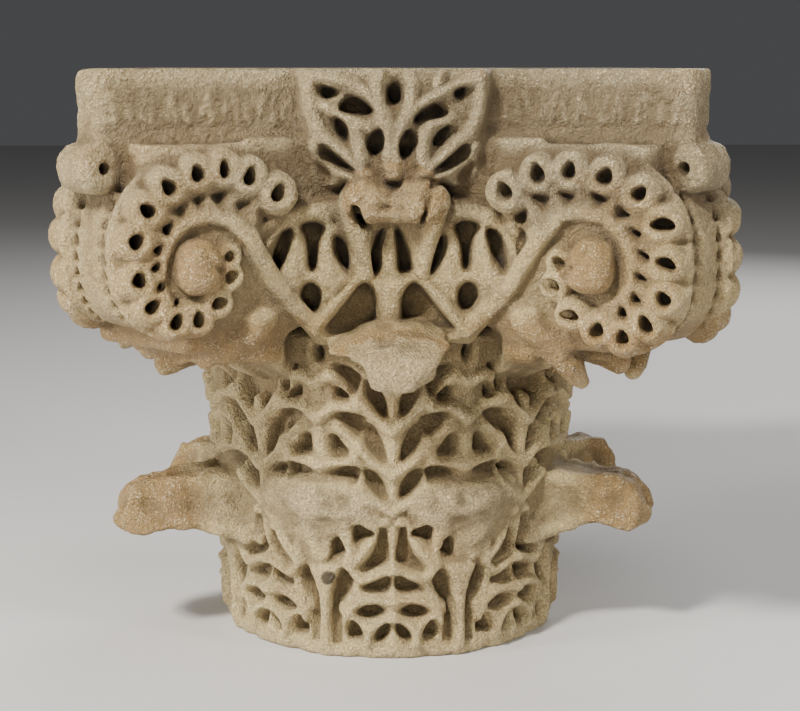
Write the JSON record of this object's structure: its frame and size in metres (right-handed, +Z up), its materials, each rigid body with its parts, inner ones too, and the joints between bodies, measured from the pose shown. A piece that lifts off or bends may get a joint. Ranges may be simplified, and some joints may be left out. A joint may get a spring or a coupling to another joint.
{
  "type": "column capital",
  "caption": "Carved marble column capital with corner volutes, tiers of acanthus leaves, deep drilled openwork and a concave-sided abacus on a round foot.",
  "frame": {"origin": "centre of the round bed that sits on the shaft, which is also the bottom centre of the bounding box", "axes": "+Z up along the column's axis, -Y out of the side that the picture shows, +X to the viewer's right"},
  "size_m": [0.3332, 0.3332, 0.3],
  "materials": {
    "marble": "carved and drilled, worn smooth on the high parts, rough where broken"
  },
  "bodies": {
    "root": {"capital": "marble"}
  },
  "joints": []
}
